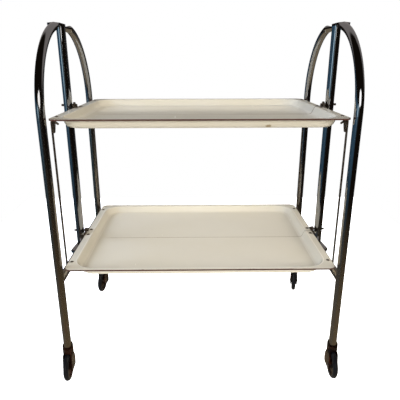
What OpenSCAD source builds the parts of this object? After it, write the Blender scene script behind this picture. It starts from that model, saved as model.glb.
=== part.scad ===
// Folding serving cart: two trays split along the middle, hinged on two posts,
// with four swinging leg frames on casters. Millimetres, floor at z 0, front is -Y.

/* [Frame] */
// Distance between the left and right leg axes
leg_span_x = 585.2; // [520:1:700]
// Distance between the front and rear leg axes
leg_span_y = 380; // [374:1:390]
// Height of the arches' centreline at the posts
arch_top_z = 741; // [730:1:790]
// Centreline radius of the bend from leg to arch
arch_r = 168; // [150:1:172]
// Height of the legs' lower ends
leg_bottom_z = 76; // [74:1:80]
// Height of the rails' centreline
rail_z = 235; // [215:1:237]
// Outside diameter of the legs and arches
tube_d = 16.8; // [16.5:0.1:18]
// Outside diameter of the rails
rail_d = 16; // [14:0.1:16.2]
// Wall of all tubes
tube_wall = 1.5; // [1:0.1:2]
// Outside diameter of the posts
post_d = 19; // [17:0.1:20]
// How far the post axes lie outside the leg axes
post_out = 2.9; // [2:0.1:4]

/* [Flattened tube ends] */
// Thickness of a flattened end
tongue_t = 4; // [3:0.1:5]
// Width of a flattened end
tongue_w = 25; // [23:0.5:27]
// Radius of the rounded eye at its tip
eye_r = 10; // [8:0.1:11]
// Where the round tube ends, measured from the posts
squash_start = 56; // [52:1:60]
// Where the end is fully flat, measured from the posts
squash_end = 46; // [40:1:48]

/* [Pivot bolts] */
// Diameter of the bolts that the frames turn on
bolt_d = 6; // [5:0.1:8]
// Diameter of their heads
bolt_head_d = 12; // [10:0.5:16]
// Height of their heads
bolt_head_h = 1.8; // [1.5:0.1:3]
// Length of the plugs in the post ends
plug_len = 26; // [15:1:40]

/* [Trays] */
// Height of the upper tray's flange
upper_z = 571; // [563:1:574]
// Height of the lower tray's flange
lower_z = 267; // [265:1:278]
// Depth of a whole tray, front to back
tray_depth = 406; // [396:1:430]
// Thickness of the laminate sheet
sheet_t = 3; // [2:0.1:4]
// Width of the flange at the tray's ends
flange_end_w = 14; // [13:0.5:24]
// Width of the flange along front and rear
flange_side_w = 8; // [6:0.5:14]
// Radius of the flange's outer corners
flange_corner_r = 16; // [10:1:20]
// Radius of the pan's corners at the flange
pan_corner_r = 45; // [32:1:60]
// Depth of the pan below the flange
pan_depth = 16.5; // [14:0.5:24]
// Slope of the pan's walls
pan_wall_angle = 65; // [55:1:80]
// Bend radius from flange to wall
pan_lip_r = 4; // [3.5:0.5:6]
// Bend radius from wall to floor
pan_floor_r = 8; // [5:0.5:10]
// Gap between the two halves along the middle
seam_gap = 0.6; // [0.4:0.1:2]

/* [Tray hinges] */
// Height of the hinge axis above the flange
hinge_rise = 5; // [4.8:0.1:7]
// Diameter of the hinge pins
pin_d = 5; // [4:0.1:6]
// How far a pin stands out of its post
pin_out = 5; // [3:0.5:8]
// How far a pin reaches over the flange
pin_reach = 4; // [2:0.5:10]
// Thickness of the hinge lugs and corner brackets
plate_t = 1.6; // [1.2:0.1:2]
// Radius of the eye at a hinge lug's tip
lug_eye_r = 6.5; // [4.5:0.5:7]
// Length of a hinge lug along the flange
lug_len = 27; // [24:1:32]
// How far a hinge lug's foot reaches under the flange
lug_foot_w = 11; // [10:0.5:12]

/* [Rivets] */
// Diameter of the rivets' shanks
rivet_d = 4; // [3:0.1:5]
// Diameter of the rivets' heads
rivet_head_d = 8; // [6.5:0.1:9]
// Height of the rivets' heads
rivet_head_h = 1.6; // [1:0.1:2]
// Distance from a tray's end to its rivets
rivet_inset = 7; // [6:0.1:8]
// Distance from the seam to its rivets
seam_rivet_y = 16; // [14:0.5:20]
// Distance from the seam to the corner rivets
corner_rivet_y = 164; // [155:1:172]

/* [Link rods and corner brackets] */
// Diameter of the link rods
rod_d = 4.2; // [3:0.1:5]
// Distance from the seam to the rods
rod_y = 168; // [160:1:172]
// How far the rods' pivots lie below the hinge axes
rod_drop = 13; // [12:0.5:16]
// Centreline radius of the rods' bends
rod_bend_r = 2.6; // [2.2:0.1:4]
// Length of the rods' bent upper tips
peg_len = 8; // [5:0.5:10]
// Angle of those tips below level
peg_angle = 38; // [20:1:45]
// Length of a corner bracket along the tray's end
bracket_len = 28; // [24:1:32]
// Length of its lower tip along the tray's end
bracket_tip_len = 9; // [8:0.5:12]
// Height of the upper brackets
upper_bracket_h = 27; // [18:0.5:32]
// Height of the lower brackets
lower_bracket_h = 16; // [12:0.5:20]

/* [Casters] */
// Outside radius of the tyres
wheel_r = 30; // [28:0.5:31]
// Width of the tyres
tyre_w = 11; // [9:0.5:12]
// Radius of the wheel discs
disc_r = 23.5; // [20:0.5:24]
// Width of the wheel discs at the hub
hub_w = 12.6; // [12.4:0.1:13.2]
// Distance of the axles from the swivel axes
trail = 12; // [11:0.5:20]
// Width of the hoods
hood_w = 20; // [19:0.5:21]
// Gap between a tyre and its hood
hood_gap = 2; // [1.5:0.1:2.5]
// Wall of the hoods over the tyres
hood_wall = 3; // [2.5:0.1:3.5]
// Radius of the hoods' collars
collar_r = 11.5; // [11:0.1:12]
// How far a collar rises beside its leg
collar_rise = 5; // [4:0.5:7]
// Diameter of the axles
axle_d = 5; // [4:0.1:6]
// Diameter of the swivel stems
stem_d = 8; // [6:0.1:9]
// Length of a stem inside its leg
stem_len = 37; // [25:1:45]
// Directions in which the wheels trail: front left, front right, rear left, rear right
caster_yaw = [-87, -91, -98, -102];

/* [Fits] */
// Gap between parts that pass each other
pass_gap = 0.35; // [0.3:0.05:0.6]
// Radial clearance of a pin that turns in its hole
turn_fit = 0.05; // [0.02:0.01:0.09]

/* [Hidden] */
fine = 48;
coarse = 24;
sliver = 0.01;
squash_step = 0.1;
sheet_lap = 1;
chrome = "Silver";
steel = "DimGray";
laminate = "Ivory";
bakelite = "SaddleBrown";
rubber = "DarkSlateGray";

tube_r = tube_d / 2;
rail_r = rail_d / 2;
leg_x = leg_span_x / 2;
leg_y = leg_span_y / 2;
post_x = leg_x + post_out;
arch_y = leg_y - arch_r;
arch_z = arch_top_z - arch_r;
tongue_inner_x = leg_x - tube_r;
swage_len = stem_len + 2;

// The front frame's flat ends lie on the rear frame's, with a gap between them.
front_tongue_z = arch_top_z + pass_gap / 2;
rear_tongue_z = arch_top_z - pass_gap / 2 - tongue_t;
front_foot_z = rail_z + pass_gap / 2;
rear_foot_z = rail_z - pass_gap / 2 - tongue_t;
post_top_z = rear_tongue_z - pass_gap;
post_bottom_z = front_foot_z + tongue_t + pass_gap;
bolt_top_z = front_tongue_z + tongue_t + pass_gap;
bolt_bottom_z = rear_foot_z - pass_gap;

// The rods pass between the trays' ends and the leg frames.
rod_r = rod_d / 2;
rod_x = leg_x - tube_r - pass_gap - rod_r;
tray_x = rod_x - rod_r - pass_gap - 0.1;
tray_y = tray_depth / 2;
pan_x = tray_x - flange_end_w;
pan_y = tray_y - flange_side_w;
corner_x = pan_x - pan_corner_r;
corner_y = pan_y - pan_corner_r;
rivet_x = tray_x - rivet_inset;
upper_hinge_z = upper_z + hinge_rise;
lower_hinge_z = lower_z + hinge_rise;

front_lug_x = tray_x + pass_gap;
rear_lug_x = front_lug_x + plate_t + pass_gap;
lug_foot_y = seam_rivet_y - rivet_head_d;
bracket_x = tray_x - pass_gap - plate_t;
bracket_foot_w = 12;

wheel_z = wheel_r;
hood_r = wheel_r + hood_gap + hood_wall;
hood_cavity_w = hub_w + 2 * pass_gap;
hood_bottom = -10;
hood_round = 6.5;
boss_r = 8;
rim_z = leg_bottom_z - 10;
collar_top_z = leg_bottom_z + collar_rise;
collar_slope = 24;
cup_r = tube_r + pass_gap + 0.05;
stem_bottom_z = leg_bottom_z - 14;

// The origin lies midway between the front wheels' treads and the rear hoods' backs.
function hood_back(yaw) =
    leg_y + (trail - hood_r) * sin(yaw) + (hood_w / 2 - hood_round) * abs(cos(yaw));
front_reach = leg_y + trail + wheel_r;
rear_reach = max(tray_y, hood_back(caster_yaw[2]), hood_back(caster_yaw[3]));
origin_y = (front_reach - rear_reach) / 2;

// Places a part that is drawn for the front right corner.
module at_corner(left = false, rear = false) {
    mirror([left ? 1 : 0, 0, 0])
        mirror([0, rear ? 1 : 0, 0])
            children();
}

module both_ends() {
    children();
    mirror([1, 0, 0]) children();
}

// Turns a drawing in X and Y so that X runs to the front and Y up, extruded to the left.
module facing_front() {
    rotate([90, 0, -90]) children();
}

// Posts

module post() {
    difference() {
        translate([post_x, 0, post_bottom_z])
            cylinder(d = post_d, h = post_top_z - post_bottom_z, $fn = fine);
        translate([post_x, 0, post_bottom_z - 1])
            cylinder(d = post_d - 2 * tube_wall, h = post_top_z - post_bottom_z + 2, $fn = fine);
        for (z = [upper_hinge_z, lower_hinge_z])
            translate([post_x - post_d, 0, z])
                rotate([0, 90, 0])
                    cylinder(d = pin_d, h = 2 * post_d, $fn = coarse);
    }
}

module post_plug(z) {
    difference() {
        translate([post_x, 0, z])
            cylinder(d = post_d - 2 * tube_wall, h = plug_len, $fn = fine);
        translate([post_x, 0, z - 1])
            cylinder(d = bolt_d, h = plug_len + 2, $fn = coarse);
    }
}

module post_plugs() {
    both_ends() {
        post_plug(post_top_z - plug_len);
        post_plug(post_bottom_z);
    }
}

// A bolt with a low domed head, from z down to depth below it.
module pivot_bolt(depth) {
    dome_r = (bolt_head_d * bolt_head_d / 4 + bolt_head_h * bolt_head_h) / (2 * bolt_head_h);
    translate([0, 0, -depth])
        cylinder(d = bolt_d, h = depth + sliver, $fn = coarse);
    intersection() {
        translate([0, 0, bolt_head_h - dome_r]) sphere(r = dome_r, $fn = 96);
        cylinder(d = bolt_head_d, h = bolt_head_h + 1, $fn = fine);
    }
}

module pivot_bolts() {
    both_ends() {
        translate([post_x, 0, bolt_top_z])
            pivot_bolt(bolt_top_z - post_top_z + plug_len);
        translate([post_x, 0, bolt_bottom_z])
            mirror([0, 0, 1])
                pivot_bolt(post_bottom_z - bolt_bottom_z + plug_len);
    }
}

module seam_pins() {
    pin_start = tray_x - pin_reach;
    pin_end = post_x + post_d / 2 + pin_out;
    both_ends()
        for (z = [upper_hinge_z, lower_hinge_z])
            translate([pin_start, 0, z])
                rotate([0, 90, 0])
                    cylinder(d = pin_d, h = pin_end - pin_start, $fn = coarse);
}

// Leg frames, drawn for the front right corner

// A tube's flattened end: the round end at squash_start runs into a flat tongue at height z.
module squashed_end(d, round_z, slope, z) {
    hull() {
        translate([leg_x, -squash_start, round_z])
            rotate([-90 + slope, 0, 0])
                cylinder(d = d - 2 * squash_step, h = 2 * squash_step, center = true, $fn = coarse);
        translate([tongue_inner_x, -squash_end, z])
            cube([tongue_w, sliver, tongue_t]);
    }
}

module tongue(z) {
    translate([0, 0, z])
        linear_extrude(tongue_t)
            difference() {
                union() {
                    translate([post_x, 0]) circle(r = eye_r, $fn = fine);
                    polygon([
                        [tongue_inner_x, -squash_end],
                        [tongue_inner_x + tongue_w, -squash_end],
                        [post_x + eye_r, 0],
                        [post_x - eye_r, 0]
                    ]);
                }
                translate([post_x, 0]) circle(r = bolt_d / 2 + turn_fit, $fn = coarse);
            }
}

module bend(d, sweep) {
    translate([leg_x, -arch_y, arch_z])
        facing_front()
            rotate_extrude(angle = sweep, $fn = 120)
                translate([arch_r, 0]) circle(d = d, $fn = coarse);
}

module leg(tongue_z) {
    sweep = acos((squash_start - arch_y) / arch_r);
    bore_d = tube_d - 2 * tube_wall;
    difference() {
        union() {
            translate([leg_x, -leg_y, leg_bottom_z])
                cylinder(d = tube_d, h = arch_z - leg_bottom_z, $fn = coarse);
            bend(tube_d, sweep);
            squashed_end(tube_d, arch_z + arch_r * sin(sweep), 90 - sweep, tongue_z);
            tongue(tongue_z);
        }
        translate([leg_x, -leg_y, leg_bottom_z + swage_len])
            cylinder(d = bore_d, h = arch_z - leg_bottom_z - swage_len, $fn = coarse);
        translate([leg_x, -leg_y, leg_bottom_z - 1])
            cylinder(d = stem_d + 2 * turn_fit, h = swage_len + 2, $fn = coarse);
        bend(bore_d, sweep - 1);
    }
}

module rail(tongue_z) {
    difference() {
        union() {
            translate([leg_x, -leg_y, rail_z])
                rotate([-90, 0, 0])
                    cylinder(d = rail_d, h = leg_y - squash_start + sliver, $fn = coarse);
            squashed_end(rail_d, rail_z, 0, tongue_z);
            tongue(tongue_z);
        }
        translate([leg_x, -leg_y, rail_z])
            rotate([-90, 0, 0])
                cylinder(d = rail_d - 2 * tube_wall, h = leg_y - squash_start - 1, $fn = coarse);
        translate([leg_x, -leg_y, rail_z - tube_d])
            cylinder(d = tube_d, h = 2 * tube_d, $fn = coarse);
    }
}

// Trays, drawn as the front half

// Section of the pan's wall, which laps over the flange and the floor: x is the distance
// from a corner's centre, y the height over the flange's face.
function arc(x, y, r, from, to, steps) =
    [for (i = [0:steps]) let (a = from + (to - from) * i / steps) [x + r * cos(a), y + r * sin(a)]];

function wall_section() =
    let (
        a = pan_wall_angle,
        bends = pan_lip_r + pan_floor_r,
        slant = (pan_depth - bends * (1 - cos(a))) / sin(a),
        run = bends * sin(a) + slant * cos(a),
        lip_x = pan_corner_r,
        floor_x = pan_corner_r - run,
        floor_y = pan_floor_r - pan_depth
    )
    concat(
        [[lip_x + sheet_lap, 0]],
        arc(lip_x, -pan_lip_r, pan_lip_r, 90, 90 + a, 5),
        arc(floor_x, floor_y, pan_floor_r, a - 90, -90, 7),
        [[floor_x - sheet_lap, -pan_depth], [floor_x - sheet_lap, -pan_depth - sheet_t]],
        arc(floor_x, floor_y, pan_floor_r + sheet_t, -90, a - 90, 7),
        arc(lip_x, -pan_lip_r, pan_lip_r - sheet_t, 90 + a, 90, 3),
        [[lip_x + sheet_lap, -sheet_t]]
    );

wall_run = (pan_lip_r + pan_floor_r) * sin(pan_wall_angle)
    + (pan_depth - (pan_lip_r + pan_floor_r) * (1 - cos(pan_wall_angle))) / tan(pan_wall_angle);

// A plate with two rounded front corners that ends at the seam.
module half_outline(x, y, r, seam = seam_gap / 2) {
    translate([-x, r - y]) square([2 * x, y - r - seam]);
    translate([r - x, -y]) square([2 * (x - r), r]);
    for (side = [-1, 1])
        translate([side * (x - r), r - y]) circle(r = r, $fn = fine);
}

module pan_wall() {
    both_ends() {
        translate([corner_x, -corner_y, 0])
            rotate([0, 0, -90])
                rotate_extrude(angle = 90, $fn = 96) polygon(wall_section());
        translate([corner_x, -seam_gap / 2, 0])
            rotate([90, 0, 0])
                linear_extrude(corner_y - seam_gap / 2) polygon(wall_section());
    }
    translate([corner_x, -corner_y, 0])
        facing_front()
            linear_extrude(2 * corner_x) polygon(wall_section());
}

module tray_half(z) {
    floor_r = pan_corner_r - wall_run;
    translate([0, 0, z]) {
        pan_wall();
        translate([0, 0, -pan_depth - sheet_t])
            linear_extrude(sheet_t)
                half_outline(corner_x + floor_r, corner_y + floor_r, floor_r);
        difference() {
            translate([0, 0, -sheet_t])
                linear_extrude(sheet_t)
                    difference() {
                        half_outline(tray_x, tray_y, flange_corner_r);
                        half_outline(pan_x, pan_y, pan_corner_r, -1);
                    }
            rivet_places() cylinder(d = rivet_d, h = 4 * sheet_t, center = true, $fn = coarse);
        }
    }
}

module rivet_places() {
    for (x = [-rivet_x, rivet_x])
        for (y = [-seam_rivet_y, -corner_rivet_y])
            translate([x, y, 0]) children();
}

// A rivet whose face height is z 0 and which grips a stack of the given depth.
module rivet(grip) {
    dome_r = (rivet_head_d * rivet_head_d / 4 + rivet_head_h * rivet_head_h) / (2 * rivet_head_h);
    translate([0, 0, -grip - sliver])
        cylinder(d = rivet_d, h = grip + 2 * sliver, $fn = coarse);
    intersection() {
        translate([0, 0, rivet_head_h - dome_r]) sphere(r = dome_r, $fn = 64);
        cylinder(d = rivet_head_d, h = rivet_head_h + 1, $fn = coarse);
    }
    translate([0, 0, -grip - rivet_head_h / 2])
        cylinder(d = rivet_head_d * 0.75, h = rivet_head_h / 2, $fn = coarse);
}

// The seam rivets hold the lugs' feet and the corner rivets the brackets, below the flange.
module rivets(z) {
    translate([0, 0, z])
        rivet_places() rivet(sheet_t + plate_t);
}

// Tray hinges and corner brackets, drawn for the front half at its right end

// A foot under the flange and a blade that stands past the tray's end at x.
module lug(x, z) {
    under = z - sheet_t - plate_t;
    eye_h = hinge_rise + sheet_t + plate_t;
    difference() {
        union() {
            translate([x + plate_t, 0, under])
                facing_front()
                    linear_extrude(plate_t)
                        union() {
                            translate([0, eye_h]) circle(r = lug_eye_r, $fn = fine);
                            polygon([
                                [0, eye_h - lug_eye_r],
                                [lug_foot_y, 0],
                                [lug_len, 0],
                                [lug_len, sheet_t + plate_t],
                                [0, eye_h + lug_eye_r]
                            ]);
                        }
            translate([tray_x - lug_foot_w, -lug_len, under])
                cube([x - tray_x + lug_foot_w + sliver, lug_len - lug_foot_y, plate_t]);
        }
        translate([x - 1, 0, z + hinge_rise])
            rotate([0, 90, 0])
                cylinder(d = pin_d + 2 * turn_fit, h = plate_t + 2, $fn = coarse);
        translate([rivet_x, -seam_rivet_y, under])
            cylinder(d = rivet_d, h = 4 * plate_t, center = true, $fn = coarse);
    }
}

module bracket(z, height) {
    under = z - sheet_t;
    difference() {
        union() {
            translate([bracket_x + plate_t, -rod_y, under])
                facing_front()
                    linear_extrude(plate_t)
                        polygon([
                            [-bracket_len / 2, 0],
                            [-bracket_len / 2, -plate_t],
                            [-bracket_tip_len / 2, -height + 2],
                            [-bracket_tip_len / 2 + 2, -height],
                            [bracket_tip_len / 2 - 2, -height],
                            [bracket_tip_len / 2, -height + 2],
                            [bracket_len / 2, -plate_t],
                            [bracket_len / 2, 0]
                        ]);
            translate([bracket_x - bracket_foot_w, -corner_rivet_y - rivet_head_d, under - plate_t])
                cube([bracket_foot_w + sliver, 2 * rivet_head_d, plate_t]);
        }
        translate([bracket_x - 1, -rod_y, z + hinge_rise - rod_drop])
            rotate([0, 90, 0])
                cylinder(d = rod_d + 2 * turn_fit, h = plate_t + 2, $fn = coarse);
        translate([rivet_x, -corner_rivet_y, under])
            cylinder(d = rivet_d, h = 4 * plate_t, center = true, $fn = coarse);
    }
}

// A bent wire: the upright, a bend at each end, the two pivots and the hooked upper tip.
module rod_bend() {
    rotate([90, 0, 0])
        rotate_extrude(angle = 90, $fn = coarse)
            translate([rod_bend_r, 0]) circle(d = rod_d, $fn = coarse);
}

module rod() {
    top_z = upper_hinge_z - rod_drop;
    bottom_z = lower_hinge_z - rod_drop;
    inner_x = bracket_x - pass_gap;
    peg_x = inner_x - rod_r * tan(peg_angle / 2);
    translate([0, -rod_y, 0]) {
        translate([rod_x, 0, bottom_z + rod_bend_r])
            cylinder(d = rod_d, h = top_z - bottom_z - 2 * rod_bend_r, $fn = coarse);
        translate([rod_x - rod_bend_r, 0, top_z - rod_bend_r]) rod_bend();
        translate([rod_x - rod_bend_r, 0, bottom_z + rod_bend_r])
            mirror([0, 0, 1]) rod_bend();
        for (pivot = [[inner_x, bottom_z], [peg_x, top_z]])
            translate([pivot.x, 0, pivot.y])
                rotate([0, 90, 0])
                    cylinder(d = rod_d, h = rod_x - rod_bend_r - pivot.x, $fn = coarse);
        translate([inner_x, 0, bottom_z]) sphere(d = rod_d, $fn = coarse);
        translate([peg_x, 0, top_z]) {
            sphere(d = rod_d, $fn = coarse);
            rotate([0, -90 - peg_angle, 0]) {
                cylinder(d = rod_d, h = peg_len, $fn = coarse);
                translate([0, 0, peg_len]) sphere(d = rod_d, $fn = coarse);
            }
        }
    }
}

// Casters: the swivel axis is Z and the wheel trails towards +X

module caster_place(left, rear) {
    place = (left ? 0 : 1) + (rear ? 2 : 0);
    translate([left ? -leg_x : leg_x, rear ? leg_y : -leg_y, 0])
        rotate([0, 0, caster_yaw[place]])
            children();
}

module along_axle() {
    translate([trail, 0, wheel_z]) rotate([90, 0, 0]) children();
}

// Turns a section drawn with x as radius and y along the axle.
module around_axle() {
    along_axle() rotate_extrude($fn = 96) children();
}

module hood_section() {
    edge = hood_w / 2;
    polygon([
        [0, -edge], [hood_r - 9, -edge], [hood_r - 4, -edge + 1.2], [hood_r - 1, -edge + 3.6],
        [hood_r, -edge + hood_round], [hood_r, edge - hood_round], [hood_r - 1, edge - 3.6],
        [hood_r - 4, edge - 1.2], [hood_r - 9, edge], [0, edge]
    ]);
}

// What is cut from the hood in side view: all below the axle and the open trailing side.
module hood_opening() {
    reach = 2 * hood_r;
    polygon([
        [-reach, hood_bottom], [boss_r, hood_bottom], [boss_r, 0],
        [collar_r - trail, rim_z - wheel_z], [reach, rim_z - wheel_z],
        [reach, -reach], [-reach, -reach]
    ]);
}

module collar() {
    difference() {
        translate([0, 0, rim_z - 8])
            cylinder(r = collar_r, h = collar_top_z - rim_z + 8, $fn = fine);
        translate([-collar_r, -2 * collar_r, collar_top_z])
            rotate([0, collar_slope, 0])
                cube([6 * collar_r, 4 * collar_r, 2 * collar_r]);
    }
}

module hood() {
    difference() {
        union() {
            difference() {
                union() {
                    around_axle() hood_section();
                    collar();
                }
                along_axle()
                    linear_extrude(2 * hood_w, center = true) hood_opening();
            }
            along_axle() cylinder(r = boss_r, h = hood_w, center = true, $fn = fine);
        }
        along_axle()
            cylinder(r = wheel_r + hood_gap, h = hood_cavity_w, center = true, $fn = 96);
        along_axle()
            cylinder(d = axle_d, h = 2 * hood_w, center = true, $fn = coarse);
        translate([0, 0, stem_bottom_z])
            cylinder(d = stem_d, h = collar_top_z, $fn = coarse);
        translate([0, 0, leg_bottom_z - pass_gap])
            cylinder(r = cup_r, h = collar_top_z, $fn = fine);
    }
}

module caster_pins() {
    translate([0, 0, stem_bottom_z])
        cylinder(d = stem_d, h = leg_bottom_z + stem_len - stem_bottom_z, $fn = coarse);
    along_axle() {
        cylinder(d = axle_d, h = hood_w, center = true, $fn = coarse);
        for (side = [0, 1])
            mirror([0, 0, side])
                translate([0, 0, hood_w / 2])
                    cylinder(d1 = 2 * axle_d, d2 = 1.4 * axle_d, h = 1.6, $fn = coarse);
    }
}

module wheel() {
    rim_w = tyre_w - 2;
    hub_r = 8;
    dish = 2.2;
    around_axle()
        polygon([
            [axle_d / 2 + turn_fit, -hub_w / 2], [hub_r, -hub_w / 2],
            [hub_r + 2, -rim_w / 2 + dish], [disc_r - 5, -rim_w / 2 + dish],
            [disc_r - 3, -rim_w / 2], [disc_r, -rim_w / 2],
            [disc_r, rim_w / 2], [disc_r - 3, rim_w / 2],
            [disc_r - 5, rim_w / 2 - dish], [hub_r + 2, rim_w / 2 - dish],
            [hub_r, hub_w / 2], [axle_d / 2 + turn_fit, hub_w / 2]
        ]);
}

module tyre() {
    around_axle()
        intersection() {
            union() {
                translate([wheel_r - tyre_w / 2, 0]) circle(d = tyre_w, $fn = fine);
                translate([disc_r, -tyre_w / 2]) square([wheel_r - disc_r - tyre_w / 2, tyre_w]);
            }
            translate([disc_r, -tyre_w]) square([wheel_r, 2 * tyre_w]);
        }
}

// The named nodes, moved so that the cart's box stands centred on the origin

module placed() {
    translate([0, origin_y, 0]) children();
}

module post_left() { color(chrome) placed() mirror([1, 0, 0]) post(); }
module post_right() { color(chrome) placed() post(); }

module leg_node(left, rear) {
    color(chrome) placed() at_corner(left, rear) leg(rear ? rear_tongue_z : front_tongue_z);
}

module rail_node(left, rear) {
    color(chrome) placed() at_corner(left, rear) rail(rear ? rear_foot_z : front_foot_z);
}

module rod_node(left, rear) { color(steel) placed() at_corner(left, rear) rod(); }

module tray_node(z, rear) { color(laminate) placed() at_corner(false, rear) tray_half(z); }
module rivets_node(z, rear) { color(bakelite) placed() at_corner(false, rear) rivets(z); }

// The rear half's lugs stand outside the front half's, on a wider foot.
module lug_node(z, left, rear) {
    color(steel) placed() at_corner(left, rear) lug(rear ? rear_lug_x : front_lug_x, z);
}

module bracket_node(z, left, rear) {
    color(steel)
        placed()
            at_corner(left, rear)
                bracket(z, z == upper_z ? upper_bracket_h : lower_bracket_h);
}

module hood_node(left, rear) { color(bakelite) placed() caster_place(left, rear) hood(); }
module wheel_node(left, rear) { color(bakelite) placed() caster_place(left, rear) wheel(); }
module tyre_node(left, rear) { color(rubber) placed() caster_place(left, rear) tyre(); }

module caster_pins_node(left, rear) {
    color(steel) placed() caster_place(left, rear) caster_pins();
}

post_left();
post_right();
color(steel) placed() post_plugs();
color(chrome) placed() pivot_bolts();
color(steel) placed() seam_pins();
leg_node(true, false);  // leg_front_left
leg_node(false, false);  // leg_front_right
leg_node(true, true);  // leg_rear_left
leg_node(false, true);  // leg_rear_right
rail_node(true, false);  // rail_front_left
rail_node(false, false);  // rail_front_right
rail_node(true, true);  // rail_rear_left
rail_node(false, true);  // rail_rear_right
tray_node(upper_z, false);  // tray_upper_front
tray_node(upper_z, true);  // tray_upper_rear
tray_node(lower_z, false);  // tray_lower_front
tray_node(lower_z, true);  // tray_lower_rear
rivets_node(upper_z, false);  // rivets_upper_front
rivets_node(upper_z, true);  // rivets_upper_rear
rivets_node(lower_z, false);  // rivets_lower_front
rivets_node(lower_z, true);  // rivets_lower_rear
lug_node(upper_z, true, false);  // lug_upper_front_left
lug_node(upper_z, false, false);  // lug_upper_front_right
lug_node(upper_z, true, true);  // lug_upper_rear_left
lug_node(upper_z, false, true);  // lug_upper_rear_right
lug_node(lower_z, true, false);  // lug_lower_front_left
lug_node(lower_z, false, false);  // lug_lower_front_right
lug_node(lower_z, true, true);  // lug_lower_rear_left
lug_node(lower_z, false, true);  // lug_lower_rear_right
bracket_node(upper_z, true, false);  // bracket_upper_front_left
bracket_node(upper_z, false, false);  // bracket_upper_front_right
bracket_node(upper_z, true, true);  // bracket_upper_rear_left
bracket_node(upper_z, false, true);  // bracket_upper_rear_right
bracket_node(lower_z, true, false);  // bracket_lower_front_left
bracket_node(lower_z, false, false);  // bracket_lower_front_right
bracket_node(lower_z, true, true);  // bracket_lower_rear_left
bracket_node(lower_z, false, true);  // bracket_lower_rear_right
rod_node(true, false);  // rod_front_left
rod_node(false, false);  // rod_front_right
rod_node(true, true);  // rod_rear_left
rod_node(false, true);  // rod_rear_right
hood_node(true, false);  // hood_front_left
hood_node(false, false);  // hood_front_right
hood_node(true, true);  // hood_rear_left
hood_node(false, true);  // hood_rear_right
caster_pins_node(true, false);  // caster_pins_front_left
caster_pins_node(false, false);  // caster_pins_front_right
caster_pins_node(true, true);  // caster_pins_rear_left
caster_pins_node(false, true);  // caster_pins_rear_right
wheel_node(true, false);  // wheel_front_left
wheel_node(false, false);  // wheel_front_right
wheel_node(true, true);  // wheel_rear_left
wheel_node(false, true);  // wheel_rear_right
tyre_node(true, false);  // tyre_front_left
tyre_node(false, false);  // tyre_front_right
tyre_node(true, true);  // tyre_rear_left
tyre_node(false, true);  // tyre_rear_right
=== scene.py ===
"""Looks of a folding serving cart: chrome tubes, laminate trays and hooded casters."""

import math

import bpy
from mathutils import Matrix, Vector


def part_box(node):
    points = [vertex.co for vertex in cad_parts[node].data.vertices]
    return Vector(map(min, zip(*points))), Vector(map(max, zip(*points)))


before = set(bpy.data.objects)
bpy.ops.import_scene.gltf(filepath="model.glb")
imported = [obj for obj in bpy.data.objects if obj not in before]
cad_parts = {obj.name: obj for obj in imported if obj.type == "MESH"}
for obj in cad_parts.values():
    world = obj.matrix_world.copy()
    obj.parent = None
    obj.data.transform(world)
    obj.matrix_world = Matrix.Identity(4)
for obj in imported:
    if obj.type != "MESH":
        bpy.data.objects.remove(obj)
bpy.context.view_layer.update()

bl_info = {
    "name": "Folding serving cart",
    "version": (1, 0, 0),
    "blender": (4, 5, 0),
    "location": "View3D > Sidebar > Cart",
    "description": "Finishes the cart's tubes, trays, fittings and casters and lights them",
    "category": "Object",
}


# Places on the cart, in metres

TRAY_LOW, TRAY_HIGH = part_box("tray_upper_front")
TRAY_REAR_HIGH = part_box("tray_upper_rear")[1]
TRAY_MID_Y = (TRAY_LOW[1] + TRAY_REAR_HIGH[1]) / 2
TRAY_HALF_X = TRAY_HIGH[0]
SEAM_Y = (TRAY_HIGH[1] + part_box("tray_upper_rear")[0][1]) / 2
TRAY_HALF_Y = TRAY_REAR_HIGH[1] - TRAY_MID_Y
TRAY_CORNER_R = 0.016
FLANGE_END_W = 0.014
FLANGE_SIDE_W = 0.008
PAN_CORNER_R = 0.045
WALL_RUN = 0.0153  # how far the pan's sloped wall reaches inwards
EDGE_DEPTH = 0.0004  # how deep the dark core shows at the cut edge
POST_REACH = 0.02  # up to here from the middle plane the chrome is a post's, not a leg's
CHIP_AT = (0.1275, TRAY_LOW[1] + 0.012, TRAY_HIGH[2] - 0.0165)


# Colours of the room that the chrome mirrors

DARK_FLOOR = (0.30, 0.24, 0.16)
DARK_WALL = (0.010, 0.007, 0.005)
PALE_WALL = (0.29, 0.26, 0.245)
GREY_WALL = (0.10, 0.10, 0.105)
BLUE_WINDOW = (0.065, 0.150, 0.235)
PALE_WINDOW = (0.90, 1.25, 1.45)
PALE_DAY = (1.0, 0.975, 0.94)
COOL_DAY = (0.66, 0.77, 1.0)
WARM_WALL = (1.0, 0.96, 0.90)


# Colours of age and wear, and of a painted highlight

PIT_BROWN = (0.10, 0.07, 0.05)
TARNISH = (0.055, 0.036, 0.024)
BARE_SPOT = (0.36, 0.33, 0.29)
MOTTLED_CREAM = (0.52, 0.47, 0.37)
SCRATCHED_CREAM = (0.46, 0.42, 0.35)
# Painted highlight: pale cream painted along the laminate's folds
FOLD_HIGHLIGHT_CREAM = (0.80, 0.76, 0.67)
CHIP_BROWN = (0.25, 0.18, 0.085)
SEAM_DIRT = (0.16, 0.11, 0.07)
RUBBED_RIVET = (0.21, 0.17, 0.13)
HOOD_SWIRL = (0.030, 0.009, 0.0035)
HOOD_SCUFF = (0.055, 0.038, 0.028)
TYRE_DUST = (0.018, 0.016, 0.014)


def named(*starts):
    """The frame's nodes whose names begin with one of these words."""
    return [obj for name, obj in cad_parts.items() if name.startswith(starts)]


# Shader maths

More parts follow.
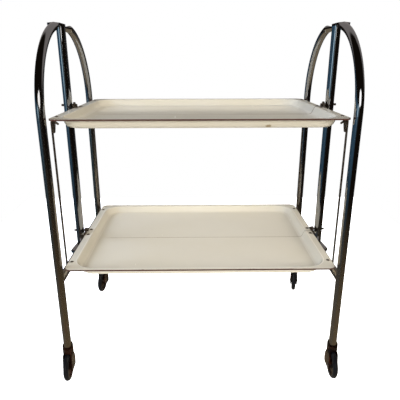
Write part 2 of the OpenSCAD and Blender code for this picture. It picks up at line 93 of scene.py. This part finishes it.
class Wire:
    """A shader socket that takes part in Python expressions."""

    def __init__(self, sheet, socket):
        self.sheet = sheet
        self.socket = socket

    def maths(self, operation, *values):
        inputs = dict(enumerate(values))
        return self.sheet.node("ShaderNodeMath", inputs, operation=operation)

    def __add__(self, other):
        return self.maths("ADD", self, other)

    __radd__ = __add__

    def __mul__(self, other):
        return self.maths("MULTIPLY", self, other)

    __rmul__ = __mul__

    def __sub__(self, other):
        return self.maths("SUBTRACT", self, other)

    def __rsub__(self, other):
        return self.maths("SUBTRACT", other, self)

    def __abs__(self):
        return self.maths("ABSOLUTE", self)

    def at_least(self, other):
        return self.maths("MAXIMUM", self, other)

    def at_most(self, other):
        return self.maths("MINIMUM", self, other)

    def root(self):
        return self.maths("SQRT", self)

    def rise(self, start, end):
        """0 up to start, 1 from end, smooth between them."""
        return self.sheet.node(
            "ShaderNodeMapRange",
            {"Value": self, "From Min": start, "From Max": end},
            interpolation_type="SMOOTHSTEP",
        )


class Sheet:
    """The nodes of a material or of the world, built from expressions."""

    def __init__(self, owner, coordinates="Object"):
        self.owner = owner
        owner.use_nodes = True
        self.tree = owner.node_tree
        self.place = Wire(self, self.tree.nodes.new("ShaderNodeTexCoord").outputs[coordinates])
        parts = self.tree.nodes.new("ShaderNodeSeparateXYZ")
        self.tree.links.new(self.place.socket, parts.inputs[0])
        self.x, self.y, self.z = (Wire(self, out) for out in parts.outputs)

    def join(self, socket, value):
        if isinstance(value, Wire):
            self.tree.links.new(value.socket, socket)
        elif hasattr(socket.default_value, "__len__") and len(socket.default_value) == 4:
            socket.default_value = (*value[:3], 1)
        else:
            socket.default_value = value

    def node(self, kind, inputs, output=0, **settings):
        made = self.tree.nodes.new(kind)
        for key, value in settings.items():
            setattr(made, key, value)
        for key, value in inputs.items():
            self.join(made.inputs[key], value)
        return Wire(self, made.outputs[output])

    def grain(self, scale, detail=3, stretch=(1, 1, 1), rough=0.55):
        """Noise from 0 to 1, stretched along an axis by a small factor there."""
        vector = self.node(
            "ShaderNodeVectorMath", {0: self.place, 1: stretch}, operation="MULTIPLY"
        )
        return self.node(
            "ShaderNodeTexNoise",
            {"Vector": vector, "Scale": scale, "Detail": detail, "Roughness": rough},
        )

    def mix(self, factor, first, second):
        made = self.tree.nodes.new("ShaderNodeMix")
        made.data_type = "RGBA"
        for key, value in ((0, factor), (6, first), (7, second)):
            self.join(made.inputs[key], value)
        return Wire(self, made.outputs[2])

    def finish(self, values, bump=None, bump_depth=0.0001):
        """Sets the Principled shader's sockets and gives back the material."""
        shader = self.tree.nodes["Principled BSDF"]
        for key, value in values.items():
            self.join(shader.inputs[key], value)
        if bump is not None:
            normal = self.node("ShaderNodeBump", {"Height": bump, "Distance": bump_depth})
            self.join(shader.inputs["Normal"], normal)
        return self.owner


def material_sheet(name):
    return Sheet(bpy.data.materials.new(name))


# Finishes

def chrome(look):
    """Old chrome: clean on posts and arches, dull and brownish down the legs, pitted all over."""
    sheet = material_sheet("chrome")
    low = 1 - (sheet.z + sheet.x * 0.3).rise(look.dull_height * 0.5, look.dull_height)
    on_legs = abs(sheet.y).rise(POST_REACH, 4 * POST_REACH)
    drawn = sheet.grain(70, 4, (1, 1, 0.04))
    cloud = sheet.grain(22, 3)
    pits = sheet.grain(1500, 2).rise(0.66, 0.74) * cloud.rise(0.35, 0.75)
    haze = (low * (0.25 + 0.75 * on_legs) * (0.55 + 0.45 * drawn)).at_most(1)
    colour = sheet.mix(haze * 0.85, tuple(look.chrome_colour), tuple(look.dull_colour))
    colour = sheet.mix(pits * 0.6, colour, PIT_BROWN)
    rough = 0.04 + 0.24 * haze + 0.07 * drawn * cloud + 0.30 * pits
    return sheet.finish(
        {"Metallic": 1.0, "Base Color": colour, "Roughness": rough},
        bump=drawn * 0.2 + sheet.grain(240, 2) * 0.12 - pits,
        bump_depth=0.00003,
    )


def tarnished_steel(look):
    """Plated steel gone brown, with a few bare bright spots."""
    sheet = material_sheet("tarnished_steel")
    stain = sheet.grain(130, 5)
    speck = sheet.grain(900, 2)
    colour = sheet.mix(stain.rise(0.38, 0.66), tuple(look.steel_colour), TARNISH)
    colour = sheet.mix(speck.rise(0.68, 0.78) * 0.6, colour, BARE_SPOT)
    rough = 0.30 + 0.30 * stain
    return sheet.finish(
        {"Metallic": 0.85, "Base Color": colour, "Roughness": rough},
        bump=stain * 0.6 + speck * 0.4,
        bump_depth=0.00015,
    )


def outline_distance(sheet, end_inset=0.0, side_inset=0.0, corner=TRAY_CORNER_R):
    """How far outside the trays' rounded outline, or one drawn inside it, a point lies."""
    over_x = abs(sheet.x) - (TRAY_HALF_X - end_inset - corner)
    over_y = abs(sheet.y - TRAY_MID_Y) - (TRAY_HALF_Y - side_inset - corner)
    out_x = over_x.at_least(0)
    out_y = over_y.at_least(0)
    round_part = (out_x * out_x + out_y * out_y).root()
    return round_part + over_x.at_least(over_y).at_most(0) - corner


def laminate(look):
    """Glossy cream laminate with a dark cut-edge core, chips, fine scratches and painted highlights
    along its folds.
    """
    sheet = material_sheet("cream_laminate")
    outside = outline_distance(sheet)
    edge = outside.rise(-EDGE_DEPTH - 0.0001, -EDGE_DEPTH)
    rim = outline_distance(sheet, FLANGE_END_W, FLANGE_SIDE_W, PAN_CORNER_R)
    foot = outline_distance(
        sheet, FLANGE_END_W + WALL_RUN, FLANGE_SIDE_W + WALL_RUN, PAN_CORNER_R - WALL_RUN
    )
    cloud = sheet.grain(7, 4)
    mottle = sheet.grain(420, 3)
    # Painted highlight: a pale line along the fold from flange to sloped wall, and a fainter one
    # along the fold from sloped wall to floor, both varied by noise
    fold_highlight = 0.8 - 0.8 * abs(rim).rise(0.0003, 0.0013)
    fold_highlight = fold_highlight.at_least(0.4 - 0.4 * abs(foot).rise(0.0003, 0.0018)) * (0.4 + 0.6 * cloud)
    knock = sheet.grain(75, 4).rise(0.60, 0.66) * outside.rise(-0.0022, -0.0006)
    axes = (sheet.x, sheet.y, sheet.z)
    away = [(axis - at) * size for axis, at, size in zip(axes, CHIP_AT, (1, 1, 1.4))]
    reach = (away[0] * away[0] + away[1] * away[1] + away[2] * away[2]).root()
    chip = 1 - (reach + sheet.grain(420, 2) * 0.006).rise(0.0080, 0.0102)
    scratch = sheet.grain(260, 2, (1, 0.05, 1)).rise(0.70, 0.76) * cloud.rise(0.45, 0.7)
    yellowed = cloud.rise(0.35, 0.75) * 0.35
    colour = sheet.mix(yellowed, tuple(look.cream_colour), tuple(look.aged_colour))
    colour = sheet.mix(mottle.rise(0.55, 0.8) * 0.10, colour, MOTTLED_CREAM)
    colour = sheet.mix(scratch * 0.20, colour, SCRATCHED_CREAM)
    # Mixes the painted fold highlight into the laminate colour
    colour = sheet.mix(fold_highlight, colour, FOLD_HIGHLIGHT_CREAM)
    colour = sheet.mix(edge.at_least(knock * 0.9), colour, tuple(look.core_colour))
    colour = sheet.mix(chip * 0.9, colour, CHIP_BROWN)
    off_seam = abs(sheet.y - SEAM_Y)
    seam = (1 - off_seam.rise(0.0009, 0.0016)) * sheet.x.rise(-0.235, -0.215)
    dirt = (1 - off_seam.rise(0.001, 0.004)) * sheet.z.rise(0.45, 0.50) * sheet.x.rise(0.02, 0.10)
    grime = (seam * (0.30 + 0.40 * mottle)).at_least(dirt * 0.6)
    colour = sheet.mix(grime, colour, SEAM_DIRT)
    rough = 0.15 + 0.08 * cloud + 0.20 * scratch + 0.30 * edge + 0.35 * chip
    return sheet.finish(
        {"IOR": 1.5, "Base Color": colour, "Roughness": rough},
        bump=cloud * 0.5 - scratch * 0.25 - knock - chip,
        bump_depth=0.0002,
    )


def rivet_paint(look):
    """Dull brown rivet heads, worn bright in places by rubbing."""
    sheet = material_sheet("rivet_brown")
    rub = sheet.grain(520, 3)
    colour = sheet.mix(rub.rise(0.52, 0.72), tuple(look.rivet_colour), RUBBED_RIVET)
    return sheet.finish(
        {"Metallic": 0.6, "Base Color": colour, "Roughness": 0.38 + 0.3 * rub},
        bump=rub,
    )


def bakelite(look):
    """Brown-black moulded hoods and discs, scuffed pale in streaks."""
    sheet = material_sheet("bakelite")
    swirl = sheet.grain(60, 5)
    scuff = sheet.grain(300, 4, (1, 1, 0.35)).rise(0.60, 0.72)
    colour = sheet.mix(swirl.rise(0.40, 0.75), tuple(look.hood_colour), HOOD_SWIRL)
    colour = sheet.mix(scuff * 0.2, colour, HOOD_SCUFF)
    return sheet.finish(
        {
            "IOR": 1.55,
            "Specular IOR Level": 0.25,
            "Base Color": colour,
            "Roughness": 0.18 + 0.24 * scuff + 0.1 * swirl,
        },
        bump=swirl * 0.5 - scuff * 0.4,
        bump_depth=0.0002,
    )


def tyre_rubber(look):
    """Hard black rubber, grey with dust where it runs."""
    sheet = material_sheet("tyre_rubber")
    dust = sheet.grain(150, 4)
    crack = sheet.grain(700, 3)
    colour = sheet.mix(dust.rise(0.45, 0.75) * 0.5, tuple(look.tyre_colour), TYRE_DUST)
    return sheet.finish(
        {
            "IOR": 1.5,
            "Specular IOR Level": 0.25,
            "Base Color": colour,
            "Roughness": 0.26 + 0.25 * dust,
        },
        bump=crack * 0.6 + dust * 0.4,
        bump_depth=0.00025,
    )


def wear(objs, material):
    """Gives objects a material."""
    for obj in objs:
        obj.data.materials.clear()
        obj.data.materials.append(material)


# Settings that a user would change

def colour(name, description, value):
    return bpy.props.FloatVectorProperty(
        name=name, description=description, subtype="COLOR", size=3, min=0, max=1, default=value
    )


class CartMetalLook(bpy.types.PropertyGroup):
    chrome_colour: colour("Chrome", "Colour of the clean chrome", (0.42, 0.43, 0.45))
    dull_colour: colour("Dull chrome", "Colour of the chrome low on the legs", (0.26, 0.20, 0.125))
    dull_height: bpy.props.FloatProperty(
        name="Dull height", description="Height under which the chrome turns dull",
        default=0.62, min=0.05, max=0.8, unit="LENGTH",
    )
    steel_colour: colour("Fittings", "Colour of lugs, brackets, rods and pins", (0.17, 0.14, 0.11))
    rivet_colour: colour("Rivets", "Colour of the rivet heads", (0.060, 0.036, 0.025))


class CartTrayLook(bpy.types.PropertyGroup):
    cream_colour: colour("Cream", "Main colour of the laminate", (0.60, 0.553, 0.447))
    aged_colour: colour("Aged cream", "Colour where the laminate has yellowed", (0.56, 0.505, 0.375))
    core_colour: colour("Core", "Colour of the cut edge", (0.070, 0.030, 0.022))


class CartCasterLook(bpy.types.PropertyGroup):
    hood_colour: colour("Hoods", "Colour of hoods and wheel discs", (0.0030, 0.0014, 0.0010))
    tyre_colour: colour("Tyres", "Colour of the tyres", (0.004, 0.004, 0.005))


class CartStudio(bpy.types.PropertyGroup):
    floor_colour: colour("Floor", "Colour of the studio floor", (0.92, 0.92, 0.92))
    floor_glow: bpy.props.FloatProperty(
        name="Floor glow", description="How much the floor shines by itself, which pales its shadows",
        default=1.20, min=0.0, max=4.0,
    )
    key_power: bpy.props.FloatProperty(
        name="Overhead light", description="Power of the light overhead",
        default=9.0, min=0.0, max=500.0, unit="POWER",
    )
    front_power: bpy.props.FloatProperty(
        name="Front light", description="Power of the large light in front",
        default=53.0, min=0.0, max=500.0, unit="POWER",
    )
    side_power: bpy.props.FloatProperty(
        name="Side lights", description="Power of the light at the left; the right one has less",
        default=84.0, min=0.0, max=500.0, unit="POWER",
    )
    back_power: bpy.props.FloatProperty(
        name="Rear light", description="Power of the light behind",
        default=18.0, min=0.0, max=500.0, unit="POWER",
    )
    glint_power: bpy.props.FloatProperty(
        name="Glint", description="Power of the bright pane that the chrome mirrors",
        default=9.0, min=0.0, max=100.0, unit="POWER",
    )
    camera_place: bpy.props.FloatVectorProperty(
        name="Camera", description="Where the camera stands", size=3,
        default=(-0.0096, -0.9795, 0.6773), subtype="TRANSLATION", unit="LENGTH",
    )
    camera_pitch: bpy.props.FloatProperty(
        name="Pitch", description="How far the camera looks down",
        default=math.radians(18.38), subtype="ANGLE",
    )
    camera_yaw: bpy.props.FloatProperty(
        name="Yaw", description="How far the camera turns to the right",
        default=math.radians(0.64), subtype="ANGLE",
    )
    camera_roll: bpy.props.FloatProperty(
        name="Roll", description="How far the camera rolls",
        default=math.radians(-0.10), subtype="ANGLE",
    )
    camera_lens: bpy.props.FloatProperty(
        name="Lens", description="Focal length in millimetres", default=38.6, min=10, max=200,
    )


# Operators

class CART_OT_tubes(bpy.types.Operator):
    """Finishes legs, rails, posts and pivot bolts in old chrome"""
    bl_idname = "cart.tubes"
    bl_label = "Chrome tubes"

    def execute(self, context):
        tubes = named("leg_", "rail_", "post_left", "post_right", "pivot_bolts")
        wear(tubes, chrome(context.scene.cart_metal))
        return {"FINISHED"}


class CART_OT_fittings(bpy.types.Operator):
    """Finishes lugs, brackets, rods, pins and plugs in tarnished steel, and the rivets in brown"""
    bl_idname = "cart.fittings"
    bl_label = "Fittings"

    def execute(self, context):
        look = context.scene.cart_metal
        steel = tarnished_steel(look)
        wear(named("lug_", "bracket_"), steel)
        wear(named("rod_", "seam_pins", "post_plugs", "caster_pins"), steel)
        wear(named("rivets_"), rivet_paint(look))
        return {"FINISHED"}


class CART_OT_trays(bpy.types.Operator):
    """Finishes the four tray halves in cream laminate with a dark cut edge"""
    bl_idname = "cart.trays"
    bl_label = "Trays"

    def execute(self, context):
        wear(named("tray_"), laminate(context.scene.cart_tray))
        return {"FINISHED"}


class CART_OT_casters(bpy.types.Operator):
    """Finishes hoods and wheel discs in bakelite and the tyres in rubber"""
    bl_idname = "cart.casters"
    bl_label = "Casters"

    def execute(self, context):
        look = context.scene.cart_caster
        wear(named("hood_", "wheel_"), bakelite(look))
        wear(named("tyre_"), tyre_rubber(look))
        return {"FINISHED"}


def studio_world(scene):
    """White where the camera sees past the floor, and a dim room where the chrome mirrors it."""
    sky = Sheet(bpy.data.worlds.new("studio"), "Generated")
    right, back, up = sky.x, sky.y, sky.z
    left = right * -1
    room = sky.mix(up.rise(-0.62, -0.30), DARK_FLOOR, DARK_WALL)
    upper_rear = (back + right * 0.35).rise(0.25, 0.45) * up.rise(0.10, 0.30)
    room = sky.mix(upper_rear, room, PALE_WALL)
    corner = right.rise(0.3, 0.5) * back.rise(0.35, 0.6)
    corner = corner * up.rise(-0.4, -0.2) * (1 - up.rise(0.1, 0.2))
    room = sky.mix(corner, room, GREY_WALL)
    bars = 0.35 + 1.3 * sky.grain(7, 2, (1, 1, 0.05)).rise(0.42, 0.60)
    pane = left.rise(0.38, 0.50) * (1 - up.rise(0.07, 0.14)) * (0.25 + 0.75 * up.rise(-0.45, -0.05))
    room = sky.mix((pane * bars).at_most(1), room, BLUE_WINDOW)
    glow = up.rise(-0.18, 0.0) * (1 - up.rise(0.07, 0.14)) * (1 - back.rise(-0.45, -0.3))
    bright_slit = left.rise(0.56, 0.60) * (1 - left.rise(0.74, 0.78))
    faint_slit = left.rise(0.18, 0.22) * (1 - left.rise(0.32, 0.36))
    room = sky.mix((glow * (bright_slit + 0.3 * faint_slit)).at_most(1), room, PALE_WINDOW)
    seen = Wire(sky, sky.tree.nodes.new("ShaderNodeLightPath").outputs["Is Camera Ray"])
    sky.join(sky.tree.nodes["Background"].inputs["Color"], sky.mix(seen, room, (1, 1, 1)))
    scene.world = sky.owner


def soft_light(name, place, aim, size, power, tint=(1, 1, 1), mirrored=False):
    """A large light turned towards a point; a mirrored one is oval and shows in the chrome."""
    bpy.ops.object.light_add(type="AREA", location=place)
    lamp = bpy.context.object
    lamp.name = name
    lamp.data.shape = "ELLIPSE" if mirrored else "RECTANGLE"
    lamp.data.size, lamp.data.size_y = size
    lamp.data.energy = power
    lamp.data.color = tint
    lamp.visible_camera = False
    lamp.visible_glossy = mirrored
    away = Vector(place) - Vector(aim)
    lamp.rotation_euler = away.to_track_quat("Z", "Y").to_euler()


class CART_OT_stage(bpy.types.Operator):
    """Adds the floor, the lights and the camera"""
    bl_idname = "cart.stage"
    bl_label = "Studio"

    def execute(self, context):
        studio = context.scene.cart_studio
        bpy.ops.object.select_all(action="DESELECT")
        floor_front, floor_back, floor_side = -0.40, 1.10, 0.85
        bpy.ops.mesh.primitive_plane_add(size=1, location=(0, (floor_front + floor_back) / 2, 0))
        floor = context.object
        floor.name = "studio_floor"
        floor.scale = (2 * floor_side, floor_back - floor_front, 1)
        bpy.ops.object.transform_apply(location=True, rotation=True, scale=True)
        paper = material_sheet("floor_paper")
        tone = paper.grain(3, 2)
        floor.visible_glossy = False
        floor.data.materials.append(paper.finish({
            "Specular IOR Level": 0.1,
            "Emission Color": (1, 1, 1),
            "Emission Strength": studio.floor_glow,
            "Base Color": paper.mix(tone * 0.04, tuple(studio.floor_colour), (0.8, 0.8, 0.8)),
            "Roughness": 0.8 + 0.1 * tone,
        }))
        studio_world(context.scene)
        middle = (0, 0, 0.4)
        soft_light("overhead", (0.1, -0.1, 2.8), middle, (1.8, 1.4), studio.key_power)
        soft_light(
            "front_window", (0, -2.3, 1.15), middle, (1.9, 1.0), studio.front_power, PALE_DAY
        )
        soft_light(
            "mirror_pane", (0.1, -2.3, 1.22), middle, (1.7, 0.9), studio.glint_power, PALE_DAY,
            mirrored=True,
        )
        soft_light(
            "left_window", (-2.4, -0.3, 1.5), middle, (1.6, 1.2), studio.side_power, COOL_DAY
        )
        soft_light(
            "right_wall", (2.4, -0.3, 1.5), middle, (1.6, 1.2), studio.side_power * 0.5, WARM_WALL
        )
        soft_light("rear_wall", (0, 2.4, 1.6), middle, (2.4, 1.0), studio.back_power)
        turn = (
            Matrix.Rotation(-studio.camera_yaw, 4, "Z")
            @ Matrix.Rotation(math.pi / 2 - studio.camera_pitch, 4, "X")
            @ Matrix.Rotation(studio.camera_roll, 4, "Z")
        )
        bpy.ops.object.camera_add(location=studio.camera_place, rotation=turn.to_euler())
        context.object.data.lens = studio.camera_lens
        context.object.data.sensor_width = 36
        context.object.data.clip_end = 50
        context.scene.camera = context.object
        context.scene.view_settings.view_transform = "Standard"
        return {"FINISHED"}


class CART_PT_panel(bpy.types.Panel):
    """The cart's settings and steps"""
    bl_label = "Serving cart"
    bl_idname = "CART_PT_panel"
    bl_space_type = "VIEW_3D"
    bl_region_type = "UI"
    bl_category = "Cart"

    def draw(self, context):
        for group in ("cart_metal", "cart_tray", "cart_caster", "cart_studio"):
            box = self.layout.box()
            settings = getattr(context.scene, group)
            for key in settings.__annotations__:
                box.prop(settings, key)
        for step in STEPS:
            self.layout.operator(step.bl_idname)


STEPS = (CART_OT_tubes, CART_OT_fittings, CART_OT_trays, CART_OT_casters, CART_OT_stage)
GROUPS = {
    "cart_metal": CartMetalLook,
    "cart_tray": CartTrayLook,
    "cart_caster": CartCasterLook,
    "cart_studio": CartStudio,
}


def register():
    for group in GROUPS.values():
        bpy.utils.register_class(group)
    for name, group in GROUPS.items():
        setattr(bpy.types.Scene, name, bpy.props.PointerProperty(type=group))
    for step in STEPS:
        bpy.utils.register_class(step)
    bpy.utils.register_class(CART_PT_panel)


def unregister():
    bpy.utils.unregister_class(CART_PT_panel)
    for step in reversed(STEPS):
        bpy.utils.unregister_class(step)
    for name in GROUPS:
        delattr(bpy.types.Scene, name)
    for group in reversed(list(GROUPS.values())):
        bpy.utils.unregister_class(group)


def main():
    register()
    bpy.ops.cart.tubes()
    bpy.ops.cart.fittings()
    bpy.ops.cart.trays()
    bpy.ops.cart.casters()
    bpy.ops.cart.stage()


if __name__ == "__main__":
    main()
